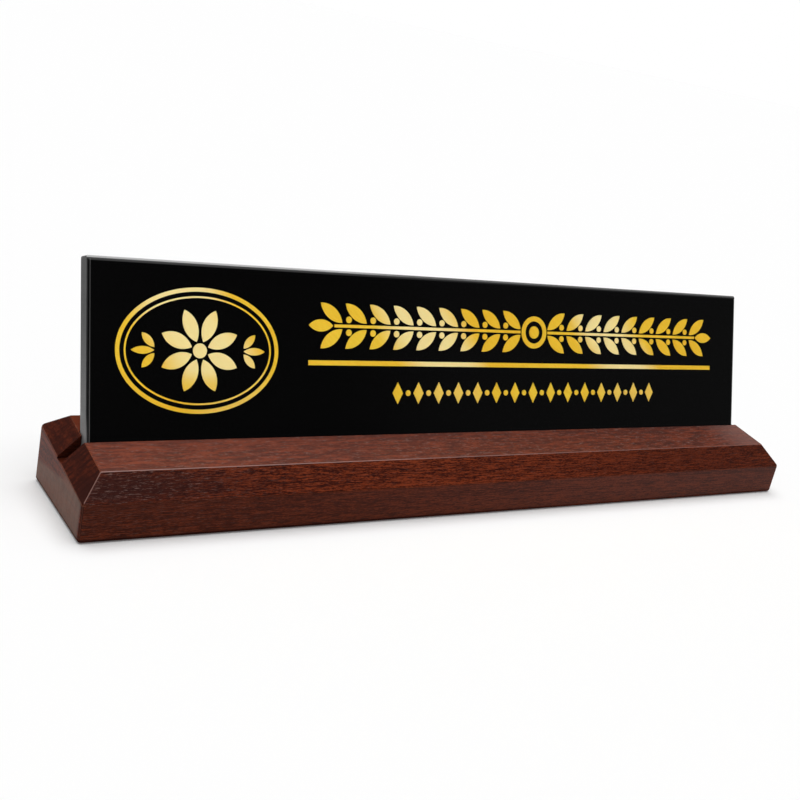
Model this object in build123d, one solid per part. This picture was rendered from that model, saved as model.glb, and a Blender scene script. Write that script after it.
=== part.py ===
from build123d import *
from math import cos, radians, sin, tan
import os

# Desk name plate in millimetres, +Z up: a bevelled hardwood base, an acrylic panel that leans
# back in a groove of the base, and gold foil ornament on the panel's face.
# The origin is the middle of the base's underside, +X runs along the base, +Y to the back.

# Wooden base
base_length = 322.0
base_depth = 48.0
base_front_height = 20.0
top_slope = 8.25
top_bevel = 7.0
base_edge_round = 1.4

# Acrylic panel
panel_length = 304.8
panel_height = 66.6
panel_thickness = 6.0
panel_top_bevel = 1.2
panel_top_bevel_depth = 0.6
panel_side_bevel = 0.4
panel_side_bevel_depth = 0.2
panel_bevel_round = 1.5
panel_crest_round = 0.5
panel_lean = 19.75
panel_shift = -1.2

# Groove for the panel
groove_depth = 7.0
groove_clearance = 0.2
groove_slot = 4.0
groove_cut_margin = 5.0

# Gold foil
foil_thickness = 0.2

# Oval emblem at the left of the panel
emblem_side_margin = 9.3
emblem_height_margin = 8.6
emblem_width = 59.0
emblem_line = 1.4
emblem_line_gap = 1.5
emblem_inner_line_width = 0.6
rosette_petal_count = 8
rosette_petal_length = 11.5
rosette_petal_width = 5.0
rosette_eye_diameter = 5.0
rosette_gap = 0.7
sprig_gap = 1.5
sprig_clearance = 1.8
sprig_side_share = 0.8
sprig_width_share = 0.325
sprig_foot_share = 0.125
sprig_spread = 48.0

# Block of lines at the right of the emblem, stacked from the panel's top
block_gap = 12.1
block_side_margin = 16.1
block_top_margin = 11.7

# Laurel garland
garland_height = 16.4
garland_stem = 1.1
garland_gap = 0.6
garland_leaf_width = 4.4
garland_leaf_angle = 38.0
garland_leaf_pitch = 10.4
garland_end_leaf_length = 10.0
garland_berry_diameter = 2.4
garland_berry_lead = 2.8
garland_knot_diameter = 13.0
garland_knot_line = 2.0
garland_knot_eye = 5.0

# Rule and the row of lozenges and beads below it
rule_gap = 4.3
rule_thickness = 1.8
title_gap = 6.0
title_height = 8.2
title_inset = 34.0
title_pitch = 9.4
lozenge_width = 4.6
bead_diameter = 2.2

# Values that follow from the sizes above
slope_rise = tan(radians(top_slope))
base_back_height = base_front_height + base_depth * slope_rise
top_middle_height = (base_front_height + base_back_height) / 2
panel_shown_height = panel_height - groove_depth

# The leaning plane of the panel's face comes out of the wood in the middle of the top.
# Its X runs along the base, its Y up the panel, and its normal points to the front.
leaning = Plane(
    origin=(0, 0, top_middle_height),
    x_dir=(1, 0, 0),
    z_dir=(0, -cos(radians(panel_lean)), sin(radians(panel_lean))),
)
face = Pos(panel_shift, 0, 0) * leaning


def make_block():
    """The base before its groove: an even bevel round a top that slopes up to the back."""
    half_length = base_length / 2
    half_depth = base_depth / 2
    bevel_rise = top_bevel * slope_rise
    side = Polyline(
        (-half_depth, 0),
        (half_depth, 0),
        (half_depth, base_back_height - top_bevel),
        (half_depth - top_bevel, base_back_height - bevel_rise),
        (-half_depth + top_bevel, base_front_height + bevel_rise),
        (-half_depth, base_front_height - top_bevel),
        close=True,
    )
    front = Polyline(
        (-half_length, -top_middle_height),
        (half_length, -top_middle_height),
        (half_length, top_middle_height - top_bevel),
        (half_length - top_bevel, top_middle_height),
        (-half_length + top_bevel, top_middle_height),
        (-half_length, top_middle_height - top_bevel),
        close=True,
    )
    up_slope = (0, cos(radians(top_slope)), sin(radians(top_slope)))
    along = extrude(Plane.YZ * make_face(side), half_length, both=True)
    across = extrude(Plane.XZ * make_face(front), base_depth, dir=up_slope, both=True)
    return fillet((along & across).edges(), base_edge_round)


def make_groove():
    """The space that is cut for the panel.

    An upright slot runs out of both ends of the base. Along the panel it is widened to a leaning
    seat, which holds the panel on all sides.
    """
    seat_outline = Pos(0, -groove_depth) * Rectangle(
        panel_length + 2 * groove_clearance,
        base_depth + groove_depth,
        align=(Align.CENTER, Align.MIN),
    )
    seat_width = panel_thickness + 2 * groove_clearance
    seat = extrude(face.offset(groove_clearance) * seat_outline, -seat_width)
    slot = Pos(0, 0, top_middle_height - groove_depth) * Box(
        base_length + 2 * groove_cut_margin,
        groove_slot,
        base_depth,
        align=(Align.CENTER, Align.MIN, Align.MIN),
    )
    return seat + slot


def make_panel():
    """The sheet, standing on the groove's floor.

    Its face and its back have a bevel all round, broader along the top, that runs into them in a
    soft curve.
    """
    outline = Pos(0, -groove_depth) * Rectangle(
        panel_length, panel_height, align=(Align.CENTER, Align.MIN)
    )
    sheet = extrude(face * outline, -panel_thickness)
    through = Axis(face.origin, face.z_dir)
    upwards = Axis(face.origin, face.y_dir)
    for side in (0, -1):
        wide = sheet.faces().sort_by(through)[side]
        top_edge = wide.edges().sort_by(upwards)[-1]
        sheet = chamfer(top_edge, panel_top_bevel, panel_top_bevel_depth, reference=wide)
        wide = sheet.faces().sort_by(through)[side]
        other_edges = wide.edges().sort_by(upwards)[:-1]
        sheet = chamfer(other_edges, panel_side_bevel, panel_side_bevel_depth, reference=wide)
        wide = sheet.faces().sort_by(through)[side]
        sheet = fillet(wide.edges(), panel_bevel_round)
    crest = sheet.faces().sort_by(upwards)[-1]
    return fillet(crest.edges(), panel_crest_round)


def make_foil(outline):
    """Flat foil of a given outline on the panel's face."""
    return extrude(face * outline, foil_thickness)


def leaf(length, width):
    """A pointed leaf from the origin along +X, between two arcs."""
    middle = length / 2
    edges = [
        ThreePointArc((0, 0), (middle, width / 2), (length, 0)),
        ThreePointArc((length, 0), (middle, -width / 2), (0, 0)),
    ]
    return make_face(edges)


def oval_ring(width, height, line):
    """An oval line of an even width, measured outside."""
    return Ellipse(width / 2, height / 2) - Ellipse(width / 2 - line, height / 2 - line)


def make_emblem():
    """The oval frame, the rosette in it and a fan of leaves at each side.

    Returns:
        The node names with their foil.
    """
    height = panel_shown_height - 2 * emblem_height_margin
    middle = Pos(
        -panel_length / 2 + emblem_side_margin + emblem_width / 2,
        panel_shown_height / 2,
    )
    inset = 2 * (emblem_line + emblem_line_gap)
    petal_start = rosette_eye_diameter / 2 + rosette_gap
    petal = Pos(petal_start, 0) * leaf(rosette_petal_length, rosette_petal_width)
    step = 360 / rosette_petal_count
    petals = Sketch() + [Rot(0, 0, step * (i + 0.5)) * petal for i in range(rosette_petal_count)]
    fan_start = petal_start + rosette_petal_length + sprig_gap
    fan_end = (emblem_width - inset) / 2 - emblem_inner_line_width - sprig_clearance
    long_leaf = fan_end - fan_start
    leaf_width = long_leaf * sprig_width_share
    foot = long_leaf * sprig_foot_share
    side_leaf = leaf(long_leaf * sprig_side_share, leaf_width)
    fan = Sketch() + [
        leaf(long_leaf, leaf_width),
        Pos(0, foot) * Rot(0, 0, sprig_spread) * side_leaf,
        Pos(0, -foot) * Rot(0, 0, -sprig_spread) * side_leaf,
    ]
    fans = Sketch() + [Rot(0, 0, turn) * Pos(fan_start, 0) * fan for turn in (0, 180)]
    return {
        "emblem_ring": make_foil(middle * oval_ring(emblem_width, height, emblem_line)),
        "emblem_inner_line": make_foil(
            middle * oval_ring(emblem_width - inset, height - inset, emblem_inner_line_width)
        ),
        "rosette_petals": make_foil(middle * petals),
        "rosette_centre": make_foil(middle * Circle(rosette_eye_diameter / 2)),
        "sprig_leaves": make_foil(middle * fans),
    }


def make_garland(middle, width):
    """Two laurel sprays that grow outwards from a knot.

    Args:
        middle: place of the knot on the panel's face.
        width: length of the garland from tip to tip.

    Returns:
        The node names with their foil.
    """
    angle = radians(garland_leaf_angle)
    foot = garland_stem / 2 + garland_gap
    leaf_length = (garland_height / 2 - foot) / sin(angle)
    stem_start = garland_knot_diameter / 2 + garland_gap
    stem_end = width / 2 - garland_end_leaf_length - garland_gap
    stem_length = stem_end - stem_start
    leaf_reach = leaf_length * cos(angle)
    count = 1 + int((width / 2 - leaf_reach - stem_start) / garland_leaf_pitch)
    berry_side = foot + garland_berry_diameter / 2
    spray = Sketch()
    berries = Sketch()
    for i in range(count):
        start = stem_start + i * garland_leaf_pitch
        for side in (1, -1):
            turned = Rot(0, 0, side * garland_leaf_angle) * leaf(leaf_length, garland_leaf_width)
            spray += Pos(start, side * foot) * turned
            if i > 0:
                berry = Circle(garland_berry_diameter / 2)
                berries += Pos(start - garland_berry_lead, side * berry_side) * berry
    spray += Pos(width / 2 - garland_end_leaf_length, 0) * leaf(
        garland_end_leaf_length, garland_leaf_width
    )
    stem = Pos(stem_start + stem_length / 2, 0) * Rectangle(stem_length, garland_stem)
    knot = Circle(garland_knot_diameter / 2) - Circle(garland_knot_diameter / 2 - garland_knot_line)
    knot += Circle(garland_knot_eye / 2)

    def both_ways(outline):
        """The outline and its copy turned to the other side of the knot."""
        return middle * (Sketch() + [outline, Rot(0, 0, 180) * outline])

    return {
        "garland_knot": make_foil(middle * knot),
        "garland_stems": make_foil(both_ways(stem)),
        "garland_leaves": make_foil(both_ways(spray)),
        "garland_berries": make_foil(both_ways(berries)),
    }


def make_title_row(middle, width):
    """A row of lozenges with a bead between each two.

    Args:
        middle: place of the row's middle on the panel's face.
        width: room for the row.

    Returns:
        The node names with their foil.
    """
    count = 1 + int((width - lozenge_width) / title_pitch)
    first = -(count - 1) * title_pitch / 2
    lozenge = make_face(
        Polyline(
            (-lozenge_width / 2, 0),
            (0, -title_height / 2),
            (lozenge_width / 2, 0),
            (0, title_height / 2),
            close=True,
        )
    )
    lozenges = Sketch() + [Pos(first + i * title_pitch, 0) * lozenge for i in range(count)]
    bead = Circle(bead_diameter / 2)
    beads = Sketch() + [Pos(first + (i + 0.5) * title_pitch, 0) * bead for i in range(count - 1)]
    return {
        "title_lozenges": make_foil(middle * lozenges),
        "title_beads": make_foil(middle * beads),
    }


def make_lines():
    """The garland, the rule and the row of lozenges, between the emblem and the right margin.

    Returns:
        The node names with their foil.
    """
    left = -panel_length / 2 + emblem_side_margin + emblem_width + block_gap
    right = panel_length / 2 - block_side_margin
    width = right - left
    middle = (left + right) / 2
    garland_level = panel_shown_height - block_top_margin - garland_height / 2
    rule_level = garland_level - garland_height / 2 - rule_gap - rule_thickness / 2
    title_level = rule_level - rule_thickness / 2 - title_gap - title_height / 2
    rule = Pos(middle, rule_level) * Rectangle(width, rule_thickness)
    return {
        **make_garland(Pos(middle, garland_level), width),
        "rule_bar": make_foil(rule),
        **make_title_row(Pos(middle, title_level), width - 2 * title_inset),
    }


nodes = {
    "wooden_base": make_block() - make_groove(),
    "name_panel": make_panel(),
    **make_emblem(),
    **make_lines(),
}

os.makedirs("parts", exist_ok=True)
for name, shape in nodes.items():
    export_step(shape, f"parts/{name}.step")
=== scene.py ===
"""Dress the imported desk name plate: lacquered hardwood base, black acrylic panel, gold foil."""

import logging
from dataclasses import dataclass, field
from enum import Enum
from math import cos, pi, radians, sin

import bpy
from mathutils import Matrix, Vector

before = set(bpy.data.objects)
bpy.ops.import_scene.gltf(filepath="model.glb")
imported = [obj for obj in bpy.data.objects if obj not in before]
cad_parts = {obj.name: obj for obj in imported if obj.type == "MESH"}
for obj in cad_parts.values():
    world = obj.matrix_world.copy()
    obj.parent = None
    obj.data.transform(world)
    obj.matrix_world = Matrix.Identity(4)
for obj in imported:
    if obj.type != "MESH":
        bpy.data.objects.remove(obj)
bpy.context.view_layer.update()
MM = 0.001

Colour = tuple[float, float, float]
Triple = tuple[float, float, float]
Span = tuple[float, float]
Socket = bpy.types.NodeSocket
Value = float | Socket
log = logging.getLogger("name_plate")


class Sum(Enum):
    """The sums of numbers that the recipes use, by the names that the node gives them."""

    ADD = "ADD"
    TAKE = "SUBTRACT"
    TIMES = "MULTIPLY"
    LARGER = "MAXIMUM"
    SMALLER = "MINIMUM"
    SIZE = "ABSOLUTE"
    REST = "FRACT"
    WAVE = "SINE"


class VectorSum(Enum):
    """The sums of vectors that the recipes use, by the names that the node gives them."""

    ADD = "ADD"
    TIMES = "MULTIPLY"
    DOT = "DOT_PRODUCT"
    LENGTH = "LENGTH"


class Lay(Enum):
    """How a colour is laid on another, by the names that the node gives these ways."""

    OVER = "MIX"
    ADDED = "ADD"


class Ray(Enum):
    """The kinds of ray that the white surroundings are shown to."""

    CAMERA = "Is Camera Ray"
    GLOSSY = "Is Glossy Ray"
    TRANSMISSION = "Is Transmission Ray"


class Recipe:
    """A node tree that is written down step by step."""

    def __init__(self, tree: bpy.types.NodeTree) -> None:
        """Start from an empty tree.

        Args:
            tree: the tree of a material or of the world.
        """
        self.tree = tree
        self.tree.nodes.clear()

    def node(self, kind: str, **settings: object) -> bpy.types.Node:
        """Add a node.

        Args:
            kind: the node's type.
            settings: properties to set on it.

        Returns:
            The new node.
        """
        made = self.tree.nodes.new(kind)
        for name, value in settings.items():
            setattr(made, name, value)
        return made

    def feed(self, socket: Socket, value: object) -> None:
        """Link a socket to another one, or set it to a plain value.

        Args:
            socket: the input.
            value: an output socket, a number or a tuple.
        """
        if isinstance(value, bpy.types.NodeSocket):
            self.tree.links.new(value, socket)
        else:
            socket.default_value = value

    def sum(self, kind: Sum, first: Value, second: Value = 0.0) -> Socket:
        """Work out a sum of one or two numbers.

        Args:
            kind: which sum.
            first: the first number.
            second: the second number, where the sum has one.

        Returns:
            The result.
        """
        made = self.node("ShaderNodeMath", operation=kind.value)
        self.feed(made.inputs[0], first)
        self.feed(made.inputs[1], second)
        return made.outputs[0]

    def product(self, first: Value, second: Value, *more: Value) -> Socket:
        """Multiply two or more numbers.

        Args:
            first: the first number.
            second: the second number.
            more: the other numbers.

        Returns:
            The product.
        """
        made = self.sum(Sum.TIMES, first, second)
        for factor in more:
            made = self.sum(Sum.TIMES, made, factor)
        return made

    def span(self, value: Value, reach: Span, start: float = 0.0, end: float = 1.0) -> Socket:
        """Bring a range of numbers smoothly to another range.

        Args:
            value: the number.
            reach: where the range starts and ends.
            start: the result at its start and before it.
            end: the result at its end and after it.

        Returns:
            The number in the new range.
        """
        made = self.node("ShaderNodeMapRange", interpolation_type="SMOOTHSTEP")
        low, high = reach
        given = {"Value": value, "From Min": low, "From Max": high, "To Min": start, "To Max": end}
        for name, number in given.items():
            self.feed(made.inputs[name], number)
        return made.outputs["Result"]

    def vector_sum(
        self, kind: VectorSum, first: Socket, second: Socket | Triple = (0.0, 0.0, 0.0)
    ) -> bpy.types.Node:
        """Work out a sum of one or two vectors.

        Args:
            kind: which sum.
            first: the first vector.
            second: the second vector, where the sum has one.

        Returns:
            The node, whose outputs are a vector and a number.
        """
        made = self.node("ShaderNodeVectorMath", operation=kind.value)
        self.feed(made.inputs[0], first)
        self.feed(made.inputs[1], second)
        return made

    def stretch(self, vector: Socket, scale: Triple) -> Socket:
        """Scale a vector on each axis."""
        return self.vector_sum(VectorSum.TIMES, vector, scale).outputs["Vector"]

    def shift(self, vector: Socket, other: Socket | Triple) -> Socket:
        """Add two vectors."""
        return self.vector_sum(VectorSum.ADD, vector, other).outputs["Vector"]

    def dot(self, vector: Socket, other: Triple) -> Socket:
        """The scalar product of two vectors."""
        return self.vector_sum(VectorSum.DOT, vector, other).outputs["Value"]

    def length(self, vector: Socket) -> Socket:
        """The length of a vector."""
        return self.vector_sum(VectorSum.LENGTH, vector).outputs["Value"]

    def parts(self, vector: Socket) -> tuple[Socket, Socket, Socket]:
        """Take a vector apart.

        Args:
            vector: the vector.

        Returns:
            Its three components.
        """
        made = self.node("ShaderNodeSeparateXYZ")
        self.feed(made.inputs[0], vector)
        return made.outputs[0], made.outputs[1], made.outputs[2]

    def join(self, *parts: Value) -> Socket:
        """Put a vector together.

        Args:
            parts: its components. Those left out are 0.

        Returns:
            The vector.
        """
        made = self.node("ShaderNodeCombineXYZ")
        for socket, part in zip(made.inputs, parts):
            self.feed(socket, part)
        return made.outputs[0]

    def place(self) -> Socket:
        """The point on the piece in millimetres, in the CAD frame at rest."""
        made = self.node("ShaderNodeTexCoord")
        return self.stretch(made.outputs["Object"], (1 / MM, 1 / MM, 1 / MM))

    def facing(self) -> Socket:
        """The surface's normal in the piece's own frame."""
        return self.node("ShaderNodeTexCoord").outputs["Normal"]

    def rays(self) -> tuple[Socket, Socket]:
        """Tell what is looked at from the light that falls on things.

        Returns:
            1 for what the camera sees, and 1 for what a mirror or clear glass shows.
        """
        paths = self.node("ShaderNodeLightPath").outputs
        mirrored = self.sum(Sum.LARGER, paths[Ray.GLOSSY.value], paths[Ray.TRANSMISSION.value])
        return paths[Ray.CAMERA.value], mirrored

    def clouds(
        self, vector: Socket, scale: Triple, detail: float = 2.0, roughness: float = 0.5
    ) -> bpy.types.Node:
        """A cloudy noise.

        Args:
            vector: where to read it.
            scale: how many clouds there are for each unit on each axis.
            detail: how many finer layers it has.
            roughness: how strong these are.

        Returns:
            The node, whose outputs are a number and a colour.
        """
        made = self.node("ShaderNodeTexNoise")
        self.feed(made.inputs["Vector"], self.stretch(vector, scale))
        for name, value in (("Scale", 1.0), ("Detail", detail), ("Roughness", roughness)):
            made.inputs[name].default_value = value
        return made

    def noise(
        self, vector: Socket, scale: Triple, detail: float = 2.0, roughness: float = 0.5
    ) -> Socket:
        """The number of a cloudy noise, from 0 to 1."""
        return self.clouds(vector, scale, detail, roughness).outputs[0]

    def cells(self, vector: Socket, scale: Triple) -> Socket:
        """The distance to the nearest of scattered points.

        Args:
            vector: where to read it.
            scale: how many points there are for each unit on each axis.

        Returns:
            The distance.
        """
        made = self.node("ShaderNodeTexVoronoi")
        self.feed(made.inputs["Vector"], self.stretch(vector, scale))
        made.inputs["Scale"].default_value = 1.0
        return made.outputs["Distance"]

    def ramp(self, value: Socket, stops: tuple[tuple[float, Colour], ...]) -> Socket:
        """Turn a number into a colour.

        Args:
            value: the number, from 0 to 1.
            stops: places along the ramp with their colours.

        Returns:
            The colour.
        """
        made = self.node("ShaderNodeValToRGB")
        self.feed(made.inputs[0], value)
        elements = made.color_ramp.elements
        while len(elements) < len(stops):
            elements.new(0.5)
        for element, (place, colour) in zip(elements, stops):
            element.position = place
            element.color = (*colour, 1.0)
        return made.outputs[0]

    def mix(
        self, share: Value, first: Socket | Colour, second: Socket | Colour, lay: Lay = Lay.OVER
    ) -> Socket:
        """Mix two colours.

        Args:
            share: how much of the second colour shows.
            first: the colour at 0.
            second: the colour at 1.
            lay: how the second colour is laid on the first.

        Returns:
            The mixed colour.
        """
        made = self.node("ShaderNodeMix", data_type="RGBA", blend_type=lay.value)
        self.feed(made.inputs["Factor"], share)
        for socket, colour in ((made.inputs[6], first), (made.inputs[7], second)):
            self.feed(socket, colour if isinstance(colour, bpy.types.NodeSocket) else (*colour, 1.0))
        return made.outputs[2]

    def veil(self, share: Value, colour: Socket, light: Colour) -> Socket:
        """Add a share of a pale colour, here a painted sheen."""
        return self.mix(share, colour, light, Lay.ADDED)

    def between(self, share: Value, first: Value, second: Value) -> Socket:
        """Mix two numbers.

        Args:
            share: how much of the second number counts.
            first: the number at 0.
            second: the number at 1.

        Returns:
            The mixed number.
        """
        made = self.node("ShaderNodeMix", data_type="FLOAT")
        for place, value in ((0, share), (2, first), (3, second)):
            self.feed(made.inputs[place], value)
        return made.outputs[0]

    def relief(self, height: Socket, depth: float, strength: float) -> Socket:
        """A normal that follows a height.

        Args:
            height: the height, from 0 to 1.
            depth: how far a height of 1 stands out, in millimetres.
            strength: the share of it that shows.

        Returns:
            The normal.
        """
        made = self.node("ShaderNodeBump")
        self.feed(made.inputs["Height"], height)
        made.inputs["Distance"].default_value = depth * MM
        made.inputs["Strength"].default_value = strength
        return made.outputs[0]

    def surface(self, **sockets: object) -> None:
        """End a material with its shader.

        Args:
            sockets: inputs of the shader, with spaces written as underscores.
        """
        made = self.node("ShaderNodeBsdfPrincipled")
        for name, value in sockets.items():
            self.feed(made.inputs[name.replace("_", " ")], value)
        output = self.node("ShaderNodeOutputMaterial")
        self.tree.links.new(made.outputs[0], output.inputs["Surface"])


def new_recipe(name: str) -> tuple[bpy.types.Material, Recipe]:
    """Make an empty material.

    Args:
        name: the finish's name.

    Returns:
        The material and the recipe to fill in.
    """
    material = bpy.data.materials.new(name)
    material.use_nodes = True
    return material, Recipe(material.node_tree)


def against(vector: Triple) -> Triple:
    """The opposite of a vector."""
    return tuple(-part for part in vector)


@dataclass(frozen=True)
class Spot:
    """A point on the wooden block, in millimetres, and the way its surface faces.

    Attributes:
        place: the point, with its parts right, back and high.
        facing: the normal, with its parts along (towards the back) and up.
        endwise: how squarely the surface faces either end.
        above: 1 on the top and 0 elsewhere.
        ends: 1 where the surface is cut across the grain.
        lengths: 1 where it runs along the grain.
    """

    place: Socket
    right: Socket
    back: Socket
    high: Socket
    facing: Socket
    endwise: Socket
    along: Socket
    up: Socket
    above: Socket
    ends: Socket
    lengths: Socket


@dataclass(frozen=True)
class Hardwood:
    """Reddish brown hardwood with open pores under a thin satin lacquer.

    The grain is solid: it runs through the block along X, and at the ends its layers show as
    fine lines from front to back. Lengths are in millimetres, and a scale is a number of
    marks for each millimetre along X, Y and Z. Tones are the part of a noise's range that counts.
    A run is a stretch of the block's length, and a share is how much of a layer or colour shows,
    at the run's left and right end where it has two numbers.
    """

    pale: Colour = (0.200, 0.036, 0.012)
    middle: Colour = (0.092, 0.0145, 0.0048)
    deep: Colour = (0.026, 0.0045, 0.0024)
    pore: Colour = (0.010, 0.0032, 0.0026)
    # Painted glints: pale flecks that stand in for highlights on the lacquered grain.
    glint: Colour = (0.190, 0.108, 0.092)
    streak: Colour = (0.024, 0.0062, 0.0050)
    # Painted shade and painted haze of the front face, darker to the left and greyer to the right.
    front_painted_shade: Colour = (0.060, 0.0098, 0.0024)
    front_painted_haze: Colour = (0.082, 0.0310, 0.0235)
    # Painted sheen on the top before the panel, and a painted reflection at its right end.
    painted_sheen: Colour = (0.200, 0.115, 0.100)
    # Painted reflection of the floor on the end faces.
    end_painted_reflection: Colour = (0.182, 0.106, 0.074)
    worn_edge: Colour = (0.230, 0.080, 0.045)
    # Painted highlight along the upper rounded edges.
    painted_edge_highlight: Colour = (0.380, 0.235, 0.210)
    # Painted shade in the groove and along the foot of the block.
    painted_shade: Colour = (0.016, 0.0036, 0.0024)

    pith: Triple = (0.0, 46.0, -58.0)
    ring_pitch: float = 2.6
    ring_rise: Span = (0.0, 0.7)
    ring_fall: Span = (0.8, 1.0)
    drift: float = 2.0
    drift_scale: Triple = (0.012, 0.045, 0.045)
    ripple: float = 0.3
    ripple_scale: Triple = (0.07, 0.22, 0.22)
    fibre_scale: Triple = (0.16, 1.1, 4.2)
    ribbon_scale: Triple = (0.008, 0.14, 0.14)
    fleck_scale: Triple = (0.80, 1.2, 5.0)
    dash_scale: Triple = (0.11, 0.80, 0.80)
    layer_scale: Triple = (0.30, 0.05, 0.80)
    speck_scale: Triple = (1.0, 0.9, 1.5)
    pore_scale: Triple = (0.36, 1.2, 3.4)
    pore_width: Span = (0.16, 0.34)
    patch_scale: Triple = (0.06, 0.4, 0.4)
    patch_tones: Span = (0.10, 0.70)
    glint_scale: Triple = (0.38, 0.9, 4.2)
    glint_width: Span = (0.53, 0.69)
    cut_scale: Triple = (0.22, 0.8, 0.22)
    cut_tones: Span = (0.35, 0.65)
    figure_tones: Span = (0.36, 0.64)
    ring_share: float = 0.06
    ribbon_share: float = 0.12
    fibre_share: float = 0.46
    fleck_share: float = 0.36
    tone_reach: Span = (0.08, 0.92)
    dash_tones: Span = (0.38, 0.62)
    dash_reach: Span = (0.15, 0.87)
    dash_share: float = 0.5
    layer_tones: Span = (0.30, 0.70)
    speck_share: float = 0.5
    end_reach: Span = (0.28, 0.72)
    stops: Triple = (0.18, 0.48, 0.82)
    open_front: float = 0.4
    open_bevels: float = 0.7
    open_top: float = 0.35

    top: Triple = (0.0, -0.14349, 0.98965)
    front_bevel: Triple = (0.0, -0.75318, 0.65781)
    other_flats: tuple[Triple, ...] = (
        (0.0, 0.65037, 0.75962),
        (0.70711, -0.10146, 0.69979),
        (0.0, -1.0, 0.0),
        (0.0, 1.0, 0.0),
        (1.0, 0.0, 0.0),
        (0.0, 0.0, -1.0),
    )
    square_on: Span = (0.93, 0.99)
    front_on: Span = (-0.98, -0.90)
    end_on: Span = (0.93, 0.98)
    cut_across: Span = (0.35, 0.60)
    slant_from: Span = (0.4, 0.6)
    slant_to: Span = (0.8, 0.95)
    edge_width: Span = (0.02, 0.13)
    worn_turn: Span = (0.12, 0.30)
    highlight_turn: Span = (0.15, 0.30)
    highlight_along: Span = (0.28, 0.42)
    highlight_up: Span = (0.55, 0.70)
    foot_up: Span = (-0.95, -0.7)

    streak_middle: Triple = (-152.0, -21.0, 17.0)
    streak_reach: Triple = (58.0, 9.0, 8.0)
    streak_fade: Span = (0.2, 1.2)
    streak_share: float = 0.9
    glint_run: Span = (-140.0, -80.0)
    glint_share: Span = (0.95, 0.24)
    glint_behind: float = 0.1
    front_run: Span = (-160.0, 110.0)
    front_share: float = 0.45
    top_run: Span = (-150.0, 110.0)
    light_left: float = 0.15
    light_behind: float = 0.75
    painted_sheen_share: Span = (0.22, 0.10)
    dusk_run: Span = (-130.0, 30.0)
    dusk_share: Span = (0.05, 0.28)
    far_run: Span = (125.0, 150.0)
    far_dusk: float = 0.25
    far_painted_sheen: float = 0.45
    bevel_run: Span = (-20.0, 110.0)
    bevel_shade_share: Span = (0.06, 0.42)
    worn_share: Span = (0.1, 0.4)
    highlight_run: Span = (-160.0, 140.0)
    highlight_share: Span = (0.9, 0.3)
    highlight_ends: float = 0.55
    foot_run: Span = (-60.0, 100.0)
    foot_share: Span = (0.85, 0.35)
    foot_height: Span = (0.9, 1.8)
    panel_front: Span = (-0.5, 0.5)
    panel_back: Span = (4.0, 5.0)
    reflection_edge_slope: Triple = (0.0, 0.187, 1.0)
    reflection_edge_height: Span = (11.0, 13.0)
    reflection_edge_depth: Span = (-16.0, 2.0)
    end_corner: Span = (-23.5, -20.5)
    end_above: float = 0.58
    end_below: float = 0.60
    end_streaks: Span = (0.75, 1.15)
    slant_depth: Span = (-4.0, 4.0)
    slant_behind: float = 0.78
    slant_streaks: float = 0.55

    seat_out: Triple = (0.0, -0.94118, 0.33792)
    seat_middle: Triple = (-1.2, 2.82, 22.47)
    seat_half_width: float = 3.22
    seat_half_length: float = 152.62
    slot_middle: float = 2.0
    slot_half_width: float = 2.02
    slot_floor: float = 16.4
    seat_end_fade: float = 0.1
    seat_fade: float = 0.08
    slot_fade: float = 0.05
    groove_shade_share: float = 0.6
    gloss: float = 0.055
    roughness: float = 0.40
    fibre_roughness: float = 0.1
    pore_roughness: float = 0.2
    foot_roughness: float = 1.0
    fibre_height: float = 0.5
    relief_depth: float = 0.08
    relief_strength: float = 0.35

    def material(self) -> bpy.types.Material:
        """Make the finish.

        Returns:
            The material.
        """
        material, make = new_recipe("hardwood_satin")
        spot = self.spot(make)
        grain = self.grain(make, spot.place)
        fibre = make.noise(grain, self.fibre_scale, roughness=0.6)
        openness = make.span(spot.along, self.front_on, self.open_front, self.open_bevels)
        pores = self.pores(make, spot, grain, openness)
        colour = self.figure(make, spot, grain, fibre)
        colour = self.shades(make, spot, colour)
        colour = make.mix(pores, colour, self.pore)
        colour = make.mix(self.glints(make, spot, grain, openness), colour, self.glint)
        colour = self.wear_and_painted_light(make, spot, colour)
        # Painted shade along the foot of the block, where it meets the floor.
        foot = make.span(spot.high, self.foot_height, 1.0, 0.0)
        foot = make.product(foot, make.span(spot.up, self.foot_up))
        painted_foot_shade = make.product(foot, make.span(spot.right, self.foot_run, *self.foot_share))
        colour = make.mix(painted_foot_shade, colour, self.painted_shade)

        smooth = self.roughness - self.fibre_roughness / 2
        rough = make.sum(Sum.ADD, smooth, make.product(fibre, self.fibre_roughness))
        rough = make.sum(Sum.ADD, rough, make.product(pores, self.pore_roughness))
        height = make.sum(Sum.TAKE, make.product(fibre, self.fibre_height), pores)
        height = make.product(height, spot.lengths)
        make.surface(
            Base_Color=colour,
            Roughness=make.between(foot, rough, self.foot_roughness),
            Specular_IOR_Level=self.gloss,
            IOR=1.5,
            Normal=make.relief(height, self.relief_depth, self.relief_strength),
        )
        return material

    def spot(self, make: Recipe) -> Spot:
        """Read the point and the way its surface faces.

        Args:
            make: the recipe to write in.

        Returns:
            The point.
        """
        place, facing = make.place(), make.facing()
        right, back, high = make.parts(place)
        across, along, up = make.parts(facing)
        endwise = make.sum(Sum.SIZE, across)
        above = make.span(make.dot(facing, self.top), self.square_on)
        ends = make.span(endwise, self.cut_across)
        lengths = make.sum(Sum.TAKE, 1.0, ends)
        return Spot(place, right, back, high, facing, endwise, along, up, above, ends, lengths)

    def grain(self, make: Recipe, place: Socket) -> Socket:
        """Where a point lies in a trunk whose fibres wander and ripple.

        Args:
            make: the recipe to write in.
            place: the point on the block.

        Returns:
            The point in the straight trunk.
        """
        for reach, scale in ((self.drift, self.drift_scale), (self.ripple, self.ripple_scale)):
            away = make.shift(make.clouds(place, scale).outputs["Color"], (-0.5, -0.5, -0.5))
            place = make.shift(place, make.stretch(away, (0.0, reach, reach)))
        return place

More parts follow.
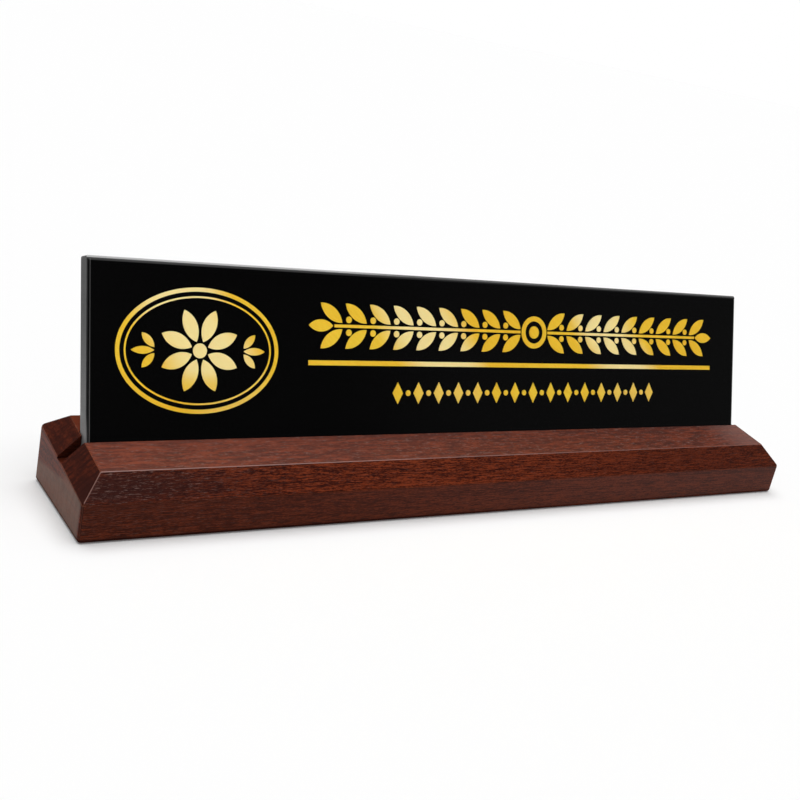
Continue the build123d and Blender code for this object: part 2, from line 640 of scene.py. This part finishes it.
    def pores(self, make: Recipe, spot: Spot, grain: Socket, openness: Socket) -> Socket:
        """The short dark lines of the open pores, which come in patches.

        Args:
            make: the recipe to write in.
            spot: the point on the block.
            grain: the point in the trunk.
            openness: how open the grain is, away from the top.

        Returns:
            How open a pore is there, from 0 to 1.
        """
        lines = make.span(make.cells(grain, self.pore_scale), self.pore_width, 1.0, 0.0)
        patches = make.span(make.noise(grain, self.patch_scale, detail=1.0), self.patch_tones)
        shown = make.between(spot.above, openness, self.open_top)
        return make.product(lines, patches, spot.lengths, shown)

    def glints(self, make: Recipe, spot: Spot, grain: Socket, openness: Socket) -> Socket:
        """Painted glints: pale flecks that stand in for highlights on the grain, crowding at the left
        end and on the top before the panel.

        Args:
            make: the recipe to write in.
            spot: the point on the block.
            grain: the point in the trunk.
            openness: how open the grain is, away from the top.

        Returns:
            How much of a painted glint shows there, from 0 to 1.
        """
        glint_flecks = make.noise(grain, self.glint_scale, detail=3.0, roughness=0.75)
        glint_flecks = make.span(glint_flecks, self.glint_width)
        lower = make.span(spot.right, self.glint_run, *self.glint_share)
        upper = make.span(spot.back, self.panel_front, 1.0, self.glint_behind)
        return make.product(glint_flecks, spot.lengths, make.between(spot.above, lower, upper), openness)

    def figure(self, make: Recipe, spot: Spot, grain: Socket, fibre: Socket) -> Socket:
        """The colour of the bare grain: year rings, ribbons, flecks and fibres.

        Args:
            make: the recipe to write in.
            spot: the point on the block, whose figure is calmer on the top.
            grain: the point in the trunk.
            fibre: the fine lines of the fibres.

        Returns:
            The colour.
        """
        radial = make.shift(grain, against(self.pith))
        ring = make.length(make.stretch(radial, (0.0, 1.0, 1.0)))
        ring = make.sum(Sum.REST, make.product(ring, 1 / self.ring_pitch))
        fall = make.span(ring, self.ring_fall, 1.0, 0.0)
        ring = make.product(make.span(ring, self.ring_rise), fall)
        ribbon = make.noise(grain, self.ribbon_scale)
        fleck = make.noise(grain, self.fleck_scale, roughness=0.6)
        tone = make.product(ring, self.ring_share)
        shares = ((ribbon, self.ribbon_share), (fibre, self.fibre_share), (fleck, self.fleck_share))
        for layer, share in shares:
            layer = make.span(layer, self.figure_tones)
            tone = make.sum(Sum.ADD, tone, make.product(layer, share))
        dash = make.noise(grain, self.dash_scale, roughness=0.6)
        dash = make.span(dash, self.dash_tones, *self.dash_reach)
        calm = make.between(self.dash_share, tone, dash)
        tone = make.between(spot.above, make.span(tone, self.tone_reach), calm)
        layers = make.noise(grain, self.layer_scale, detail=3.0, roughness=0.55)
        layers = make.span(layers, self.layer_tones)
        speck = make.noise(grain, self.speck_scale, roughness=0.6)
        speck = make.span(speck, self.layer_tones)
        cut = make.between(self.speck_share, layers, speck)
        tone = make.between(spot.ends, tone, make.span(cut, (0.0, 1.0), *self.end_reach))
        return make.ramp(tone, tuple(zip(self.stops, (self.deep, self.middle, self.pale))))

    def shades(self, make: Recipe, spot: Spot, colour: Socket) -> Socket:
        """The slow changes of colour over the block.

        Args:
            make: the recipe to write in.
            spot: the point on the block.
            colour: the colour of the grain.

        Returns:
            The colour with a dark streak at the left of the front bevel and painted shade that
            deepens the bevel again to the right, a front face with painted shade to the left and
            painted haze to the right, and the shades of the top and the ends.
        """
        away = make.shift(spot.place, against(self.streak_middle))
        away = make.length(make.stretch(away, tuple(1 / part for part in self.streak_reach)))
        share = make.span(away, self.streak_fade, self.streak_share, 0.0)
        colour = make.mix(share, colour, self.streak)
        # Painted haze and shade: the front face takes a tone of its own, greyer to the right as if it
        # mirrored the floor.
        front = make.mix(make.span(spot.right, self.front_run), self.front_painted_shade, self.front_painted_haze)
        share = make.span(spot.along, self.front_on, self.front_share, 0.0)
        colour = make.mix(share, colour, front)
        colour = self.top_shades(make, spot, colour)
        # Painted shade: the front bevel darkens towards the right.
        bevel = make.span(make.dot(spot.facing, self.front_bevel), self.square_on)
        bevel = make.product(bevel, make.span(spot.right, self.bevel_run, *self.bevel_shade_share))
        colour = make.mix(bevel, colour, self.deep)
        return self.end_shades(make, spot, colour)

    def top_shades(self, make: Recipe, spot: Spot, colour: Socket) -> Socket:
        """The shades of the top.

        Args:
            make: the recipe to write in.
            spot: the point on the block.
            colour: the colour so far.

        Returns:
            The colour, on the top paler to the left and behind the groove and darker to the
            right, with a painted sheen before the panel that is strongest at the right end,
            where it stands for a painted reflection.
        """
        light = make.span(spot.right, self.top_run, self.light_left, 0.0)
        behind = make.span(spot.back, self.panel_back, 0.0, self.light_behind)
        light = make.sum(Sum.LARGER, light, behind)
        colour = make.mix(make.product(spot.above, light), colour, self.pale)
        dusk = make.span(spot.right, self.dusk_run, *self.dusk_share)
        dusk = make.sum(Sum.ADD, dusk, make.span(spot.right, self.far_run, 0.0, self.far_dusk))
        colour = make.mix(make.product(spot.above, dusk), colour, self.deep)
        # Painted sheen on the top before the panel, and a painted reflection near its right end.
        painted_sheen = make.span(spot.right, self.top_run, *self.painted_sheen_share)
        painted_sheen = make.sum(Sum.ADD, painted_sheen, make.span(spot.right, self.far_run, 0.0, self.far_painted_sheen))
        before = make.span(spot.back, self.panel_front, 1.0, 0.0)
        return make.veil(make.product(painted_sheen, before, spot.above), colour, self.painted_sheen)

    def end_shades(self, make: Recipe, spot: Spot, colour: Socket) -> Socket:
        """The shades of the end faces and of the slants above them.

        Args:
            make: the recipe to write in.
            spot: the point on the block.
            colour: the colour so far.

        Returns:
            The colour, with a painted reflection on the end faces that is pale below a slanting
            line and less above it, save for their front corners, and with dark, streaked slants.
        """
        cut = make.noise(spot.place, self.cut_scale, roughness=0.6)
        # Painted reflection of the floor on the end faces, paler below a slanting line.
        reflection_edge = make.span(make.dot(spot.place, self.reflection_edge_slope), self.reflection_edge_height)
        upper = make.span(spot.back, self.reflection_edge_depth, self.end_above, 0.0)
        painted_light = make.product(
            make.between(reflection_edge, self.end_below, upper),
            make.span(cut, self.cut_tones, *self.end_streaks),
            make.span(spot.back, self.end_corner),
            make.span(spot.endwise, self.end_on),
        )
        colour = make.mix(painted_light, colour, self.end_painted_reflection)
        slant = make.product(
            make.span(spot.endwise, self.slant_from),
            make.span(spot.endwise, self.slant_to, 1.0, 0.0),
            make.span(spot.back, self.slant_depth, 1.0, self.slant_behind),
            make.span(cut, self.cut_tones, 1.0, self.slant_streaks),
        )
        return make.mix(slant, colour, self.deep)

    def wear_and_painted_light(self, make: Recipe, spot: Spot, colour: Socket) -> Socket:
        """The worn edges, the painted highlight on the upper edges and the painted shade in the
        groove.

        Args:
            make: the recipe to write in.
            spot: the point on the block.
            colour: the colour so far.

        Returns:
            The colour with edges worn paler, a painted highlight on the upper ones that is
            strongest to the left, and painted shade in the groove.
        """
        groove = self.groove(make, spot)
        edge = make.sum(Sum.LARGER, make.sum(Sum.TAKE, self.edges(make, spot), groove), 0.0)
        worn = make.product(edge, make.span(spot.endwise, self.worn_turn, *self.worn_share))
        colour = make.mix(worn, colour, self.worn_edge)
        # Painted shade inside the groove.
        colour = make.mix(make.product(groove, self.groove_shade_share), colour, self.painted_shade)
        # Painted highlight along the upper rounded edges, strongest to the left.
        painted_light = make.product(
            edge,
            make.span(make.sum(Sum.SIZE, spot.along), self.highlight_along),
            make.span(spot.up, self.highlight_up),
            make.span(spot.right, self.highlight_run, *self.highlight_share),
            make.span(spot.endwise, self.highlight_turn, 1.0, self.highlight_ends),
        )
        return make.mix(painted_light, colour, self.painted_edge_highlight)

    def edges(self, make: Recipe, spot: Spot) -> Socket:
        """The middle of each rounded edge, where the surface faces halfway between two flats.

        Args:
            make: the recipe to write in.
            spot: the point on the block.

        Returns:
            1 along the middle of an edge and 0 on a flat.
        """
        one_end = make.join(spot.endwise, spot.along, spot.up)
        nearest: Value = -1.0
        second: Value = -1.0
        for normal in (self.top, self.front_bevel, *self.other_flats):
            likeness = make.dot(one_end, normal)
            second = make.sum(Sum.LARGER, second, make.sum(Sum.SMALLER, nearest, likeness))
            nearest = make.sum(Sum.LARGER, nearest, likeness)
        return make.span(make.sum(Sum.TAKE, nearest, second), self.edge_width, 1.0, 0.0)

    def groove(self, make: Recipe, spot: Spot) -> Socket:
        """The walls and the floor of the panel's seat and of the slot that runs out of the ends.

        Args:
            make: the recipe to write in.
            spot: the point on the block.

        Returns:
            1 inside the groove and 0 elsewhere.
        """
        away = make.shift(spot.place, against(self.seat_middle))
        sideways = make.sum(Sum.SIZE, make.parts(away)[0])
        through = make.sum(Sum.SIZE, make.dot(away, self.seat_out))
        seat_ends = (self.seat_half_length, self.seat_half_length + self.seat_end_fade)
        seat_walls = (self.seat_half_width, self.seat_half_width + self.seat_fade)
        seat = make.span(sideways, seat_ends, 1.0, 0.0)
        seat = make.product(seat, make.span(through, seat_walls, 1.0, 0.0))
        through = make.sum(Sum.SIZE, make.sum(Sum.TAKE, spot.back, self.slot_middle))
        slot_walls = (self.slot_half_width, self.slot_half_width + self.slot_fade)
        slot = make.span(through, slot_walls, 1.0, 0.0)
        above_floor = make.span(spot.high, (self.slot_floor, self.slot_floor + self.slot_fade))
        slot = make.product(slot, above_floor)
        return make.sum(Sum.LARGER, seat, slot)


@dataclass(frozen=True)
class BlackAcrylic:
    """Cast black acrylic: a polished face and finely scratched edges, with painted highlights
    along the crest and the left side and a painted reflection low on the edges.

    Lengths are in millimetres and the lean in degrees. A scale is a number of marks for each
    millimetre along X, Y and Z, and tones are the part of a noise's range that counts.
    """

    face: Colour = (0.0009, 0.0009, 0.0010)
    edge: Colour = (0.030, 0.030, 0.030)
    edge_painted_reflection: Colour = (0.200, 0.200, 0.200)
    painted_highlight: Colour = (0.50, 0.50, 0.50)
    lean: float = 19.75
    smear_scale: Triple = (0.02, 0.05, 0.05)
    smear_tones: Span = (0.35, 0.75)
    scratch_scale: Triple = (0.03, 3.0, 3.0)
    scratch_tones: Span = (0.3, 0.7)
    square_on: Span = (0.9, 0.99)
    edge_on: Span = (0.5, 0.8)
    reflection_height: Span = (25.0, 33.0)
    crest_width: float = 0.75
    crest_fade: float = 0.25
    crest_out: Span = (0.3, 0.6)
    crest_up: Span = (0.4, 0.7)
    crest_run: Span = (-65.0, -25.0)
    crest_right: float = 0.2
    side_start: Span = (0.80, 0.95)
    side_end: Span = (1.15, 1.30)
    side_height: Span = (25.0, 70.0)
    side_share: Span = (0.20, 0.12)
    wear_height: Span = (20.0, 70.0)
    roughness: float = 0.04
    smear_roughness: float = 0.05
    edge_roughness: float = 0.42
    scratch_roughness: float = 0.06
    wear_roughness: float = 0.10
    crest_polish: float = 0.25
    relief_depth: float = 0.02
    relief_strength: float = 0.3

    def front(self) -> Triple:
        """The way the face looks."""
        return 0.0, -cos(radians(self.lean)), sin(radians(self.lean))

    def slope(self) -> Triple:
        """The way up the sheet."""
        return 0.0, sin(radians(self.lean)), cos(radians(self.lean))

    def material(self, top: float, left: float) -> bpy.types.Material:
        """Make the finish.

        Args:
            top: how far up the sheet's slope its top lies.
            left: where its left end lies along X.

        Returns:
            The material.
        """
        material, make = new_recipe("black_acrylic_polished")
        place, facing = make.place(), make.facing()
        high, up = make.parts(place)[2], make.parts(facing)[2]
        out = make.dot(facing, self.front())
        flat = make.sum(Sum.SIZE, out)
        rims = make.span(flat, self.square_on, 1.0, 0.0)
        edges = make.span(flat, self.edge_on, 1.0, 0.0)
        smear = make.noise(place, self.smear_scale, detail=4.0, roughness=0.6)
        lines = make.noise(place, self.scratch_scale, detail=3.0, roughness=0.6)
        # Painted reflection: the edges are paler near their foot.
        edge = make.mix(make.span(high, self.reflection_height, 1.0, 0.0), self.edge, self.edge_painted_reflection)
        colour = make.mix(rims, self.face, edge)
        # Painted highlights along the crest and beside the left bevel.
        crest = self.crest(make, place, out, top)
        painted_lines = make.sum(Sum.LARGER, crest, self.side(make, place, out, left))
        colour = make.mix(painted_lines, colour, self.painted_highlight)

        smooth, smeared = self.roughness, self.roughness + self.smear_roughness
        face_rough = make.span(smear, self.smear_tones, smooth, smeared)
        fine = self.edge_roughness - self.scratch_roughness
        coarse = self.edge_roughness + self.scratch_roughness
        edge_rough = make.span(lines, self.scratch_tones, fine, coarse)
        worn = make.span(high, self.wear_height, -self.wear_roughness, self.wear_roughness)
        edge_rough = make.sum(Sum.ADD, edge_rough, worn)
        polish = make.span(up, self.crest_up, 1.0, self.crest_polish)
        edge_rough = make.product(edge_rough, polish, edges)
        scratches = make.product(lines, edges)
        make.surface(
            Base_Color=colour,
            Roughness=make.sum(Sum.ADD, edge_rough, face_rough),
            Specular_IOR_Level=0.5,
            IOR=1.49,
            Normal=make.relief(scratches, self.relief_depth, self.relief_strength),
        )
        return material

    def crest(self, make: Recipe, place: Socket, out: Socket, top: float) -> Socket:
        """The painted highlight along the crest of the front's top bevel, which is paler to the left.

        Args:
            make: the recipe to write in.
            place: the point on the sheet.
            out: how squarely the surface faces the front.
            top: how far up the sheet's slope its top lies.

        Returns:
            How much of the painted highlight shows, from 0 to 1.
        """
        height = make.dot(place, self.slope())
        foot = top - self.crest_width
        return make.product(
            make.span(height, (foot, foot + self.crest_fade * self.crest_width)),
            make.span(out, self.crest_out),
            make.span(make.parts(place)[0], self.crest_run, 1.0, self.crest_right),
        )

    def side(self, make: Recipe, place: Socket, out: Socket, left: float) -> Socket:
        """The fine painted highlight on the face beside its left bevel, which is paler below.

        Args:
            make: the recipe to write in.
            place: the point on the sheet.
            out: how squarely the surface faces the front.
            left: where the sheet's left end lies along X.

        Returns:
            How much of the painted highlight shows, from 0 to 1.
        """
        right, _, high = make.parts(place)
        return make.product(
            make.span(right, tuple(left + part for part in self.side_start)),
            make.span(right, tuple(left + part for part in self.side_end), 1.0, 0.0),
            make.span(out, self.square_on),
            make.span(high, self.side_height, *self.side_share),
        )


@dataclass(frozen=True)
class GoldFoil:
    """Bright, finely brushed gold foil with pale bands where its sheen turns over.

    Lengths are in millimetres, and tones are the part of a noise's or a wave's range that counts.
    The bands are weaker below band_height.
    """

    deep: Colour = (0.93, 0.60, 0.036)
    gold: Colour = (0.98, 0.75, 0.080)
    pale: Colour = (1.0, 0.86, 0.43)
    band_pitch: float = 95.0
    band_slant: float = 0.45
    band_sway: float = 2.0
    band_tones: Span = (0.15, 0.95)
    band_height: Span = (40.0, 46.0)
    band_low: float = 0.25
    sway_scale: Triple = (0.012, 0.03, 0.03)
    sway_tones: Span = (0.35, 0.65)
    sway_share: float = 0.45
    across_brush: Triple = (1.1, 0.37, 1.05)
    along_brush: Triple = (0.15, -0.05, -0.15)
    brush_tones: Span = (0.3, 0.7)
    metallic: float = 0.85
    roughness: float = 0.75
    brush_roughness: float = 0.04
    relief_depth: float = 0.01
    relief_strength: float = 0.2

    def material(self) -> bpy.types.Material:
        """Make the finish.

        Returns:
            The material.
        """
        material, make = new_recipe("gold_foil_bright")
        place = make.place()
        sway = make.noise(place, self.sway_scale, detail=1.0)
        along = make.dot(place, (1.0, self.band_slant, self.band_slant))
        along = make.product(along, 2 * pi / self.band_pitch)
        along = make.sum(Sum.ADD, along, make.product(sway, self.band_sway))
        brushed = make.join(make.dot(place, self.across_brush), make.dot(place, self.along_brush))
        fine = make.noise(brushed, (1.0, 1.0, 1.0), detail=3.0)
        slow = make.span(sway, self.sway_tones)
        tone = make.between(self.sway_share, make.span(fine, self.brush_tones), slow)
        colour = make.mix(tone, self.deep, self.gold)
        # Painted sheen: pale bands that stand in for the lamps' reflections in the foil.
        bands = make.span(make.sum(Sum.WAVE, along), self.band_tones)
        shown = make.span(make.parts(place)[2], self.band_height, self.band_low, 1.0)
        colour = make.mix(make.product(bands, shown), colour, self.pale)
        smooth, rough = self.roughness - self.brush_roughness, self.roughness + self.brush_roughness
        make.surface(
            Base_Color=colour,
            Metallic=self.metallic,
            Roughness=make.span(fine, self.brush_tones, smooth, rough),
            Normal=make.relief(fine, self.relief_depth, self.relief_strength),
        )
        return material


@dataclass(frozen=True)
class PaleFloor:
    """White paper under the plate, lit softly from below for whoever looks at it or mirrors it."""

    colour: Colour = (0.95, 0.95, 0.95)
    mottle_scale: Triple = (0.02, 0.02, 0.02)
    mottle_depth: float = 0.004
    glow: float = 0.10

    def material(self) -> bpy.types.Material:
        """Make the finish.

        Returns:
            The material.
        """
        material, make = new_recipe("floor_paper")
        mottle = make.noise(make.place(), self.mottle_scale)
        paper = make.mix(mottle, tuple(part - self.mottle_depth for part in self.colour), self.colour)
        glow = make.product(make.sum(Sum.LARGER, *make.rays()), self.glow)
        make.surface(
            Base_Color=make.mix(glow, paper, (0.0, 0.0, 0.0)),
            Roughness=1.0,
            Specular_IOR_Level=0.0,
            Emission_Color=(1.0, 1.0, 1.0, 1.0),
            Emission_Strength=glow,
        )
        return material


@dataclass
class WoodenBase:
    """The bevelled block that the panel stands in."""

    node: str = "wooden_base"
    finish: Hardwood = field(default_factory=Hardwood)

    def dress(self) -> None:
        """Lacquer the block."""
        dress_node(self.node, self.finish.material())


@dataclass
class NamePanel:
    """The leaning sheet and the foil on its face."""

    node: str = "name_panel"
    foil_nodes: tuple[str, ...] = (
        "emblem_ring",
        "emblem_inner_line",
        "rosette_petals",
        "rosette_centre",
        "sprig_leaves",
        "garland_knot",
        "garland_stems",
        "garland_leaves",
        "garland_berries",
        "rule_bar",
        "title_lozenges",
        "title_beads",
    )
    finish: BlackAcrylic = field(default_factory=BlackAcrylic)
    foil: GoldFoil = field(default_factory=GoldFoil)

    def dress(self) -> None:
        """Polish the sheet and gild its ornament."""
        slope = Vector(self.finish.slope())
        points = [vertex.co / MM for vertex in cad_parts[self.node].data.vertices]
        top = max(slope.dot(point) for point in points)
        left = min(point.x for point in points)
        dress_node(self.node, self.finish.material(top, left))
        gilt = self.foil.material()
        for name in self.foil_nodes:
            dress_node(name, gilt)


def dress_node(name: str, material: bpy.types.Material) -> None:
    """Give a CAD node its material.

    Args:
        name: the node's name.
        material: the finish.
    """
    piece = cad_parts[name]
    piece.data.materials.clear()
    piece.data.materials.append(material)
    log.info("%s: %s", name, material.name)


@dataclass(frozen=True)
class Viewpoint:
    """Where the picture is taken from. The place is in metres, angles in degrees."""

    place: Triple = (-0.274243, -0.331631, 0.171358)
    yaw: float = 35.6
    pitch: float = -18.208
    roll: float = 12.159
    lens: float = 52.135
    sensor: float = 36.0

    def build(self) -> None:
        """Set up the camera."""
        data = bpy.data.cameras.new("viewpoint")
        data.lens = self.lens
        data.sensor_width = self.sensor
        camera = bpy.data.objects.new("viewpoint", data)
        bpy.context.scene.collection.objects.link(camera)
        yaw, pitch, roll = radians(self.yaw), radians(self.pitch), radians(self.roll)
        ahead = Vector((sin(yaw) * cos(pitch), cos(yaw) * cos(pitch), sin(pitch)))
        level = Vector((cos(yaw), -sin(yaw), 0.0))
        upright = level.cross(ahead)
        right = cos(roll) * level + sin(roll) * upright
        up = cos(roll) * upright - sin(roll) * level
        turn = Matrix((right, up, -ahead)).transposed().to_4x4()
        camera.matrix_world = Matrix.Translation(self.place) @ turn
        bpy.context.scene.camera = camera


@dataclass(frozen=True)
class Card:
    """A card, dark or bright, that the plate mirrors. Its angles are from its middle, in degrees."""

    middle: Triple
    start: float
    end: float
    level: float


@dataclass
class Studio:
    """The white floor, the lamp and the surroundings. Lengths in metres, angles in degrees."""

    floor_size: float = 30.0
    floor_drop: float = 0.0001
    softbox_power: float = 2.92
    softbox_spread: float = 66.0
    softbox_from: Triple = (0.03, 0.07, 0.99)
    cards: tuple[Card, ...] = (
        Card((0.75, -0.38, 0.54), 9.0, 24.0, 0.20),
        Card((0.36, -0.88, 0.31), 11.0, 20.0, 0.04),
        Card((0.60, -0.76, 0.25), 11.0, 20.0, 0.04),
        Card((0.76, -0.61, 0.22), 11.0, 20.0, 0.07),
        Card((0.83, 0.42, 0.36), 8.0, 35.0, 0.20),
        Card((0.0, -0.90, 0.42), 13.0, 22.0, 0.06),
        Card((-0.94, -0.32, 0.12), 15.0, 40.0, 0.15),
        Card((-0.60, -0.75, 0.28), 12.0, 30.0, 0.15),
        Card((0.31, 0.74, 0.60), 10.0, 28.0, 0.15),
        Card((-0.48, 0.74, 0.46), 10.0, 28.0, 0.30),
        Card((-0.15, -0.64, 0.75), 10.0, 20.0, 6.60),
    )
    ambient_level: float = 0.12
    floor: PaleFloor = field(default_factory=PaleFloor)

    def build(self) -> None:
        """Set up the floor, the lamp and the surroundings."""
        self.lay_floor()
        self.hang_softbox()
        self.surround()

    def lay_floor(self) -> None:
        """Lay the floor just under the base."""
        half = self.floor_size / 2
        mesh = bpy.data.meshes.new("floor")
        square = [(-half, -half, 0.0), (half, -half, 0.0), (half, half, 0.0), (-half, half, 0.0)]
        mesh.from_pydata(square, [], [(0, 1, 2, 3)])
        mesh.materials.append(self.floor.material())
        floor = bpy.data.objects.new("floor", mesh)
        floor.location.z = -self.floor_drop
        bpy.context.scene.collection.objects.link(floor)

    def hang_softbox(self) -> None:
        """Hang a broad soft light overhead."""
        data = bpy.data.lights.new("softbox", "SUN")
        data.energy = self.softbox_power
        data.angle = radians(self.softbox_spread)
        lamp = bpy.data.objects.new("softbox", data)
        lamp.rotation_euler = Vector(self.softbox_from).to_track_quat("Z", "Y").to_euler()
        lamp.visible_glossy = False
        bpy.context.scene.collection.objects.link(lamp)

    def surround(self) -> None:
        """Put the plate in white surroundings, with dark and bright cards for its gloss."""
        world = bpy.data.worlds.new("studio")
        world.use_nodes = True
        bpy.context.scene.world = world
        make = Recipe(world.node_tree)
        way = make.node("ShaderNodeTexCoord").outputs["Generated"]
        walls: Value = 1.0
        for card in self.cards:
            near = make.dot(way, tuple(Vector(card.middle).normalized()))
            share = make.span(near, (cos(radians(card.end)), cos(radians(card.start))))
            walls = make.between(share, walls, card.level)
        camera, mirrored = make.rays()
        white = make.sum(Sum.LARGER, camera, make.product(mirrored, walls))
        level = make.sum(Sum.LARGER, white, make.sum(Sum.TAKE, self.ambient_level, mirrored))
        light = make.node("ShaderNodeBackground")
        make.feed(light.inputs["Color"], (1.0, 1.0, 1.0, 1.0))
        make.feed(light.inputs["Strength"], level)
        output = make.node("ShaderNodeOutputWorld")
        make.tree.links.new(light.outputs[0], output.inputs["Surface"])


def main() -> None:
    """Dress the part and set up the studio."""
    logging.basicConfig(level=logging.INFO, format="%(message)s")
    bpy.context.scene.view_settings.view_transform = "Standard"
    Viewpoint().build()
    WoodenBase().dress()
    NamePanel().dress()
    Studio().build()


if __name__ == "__main__":
    main()
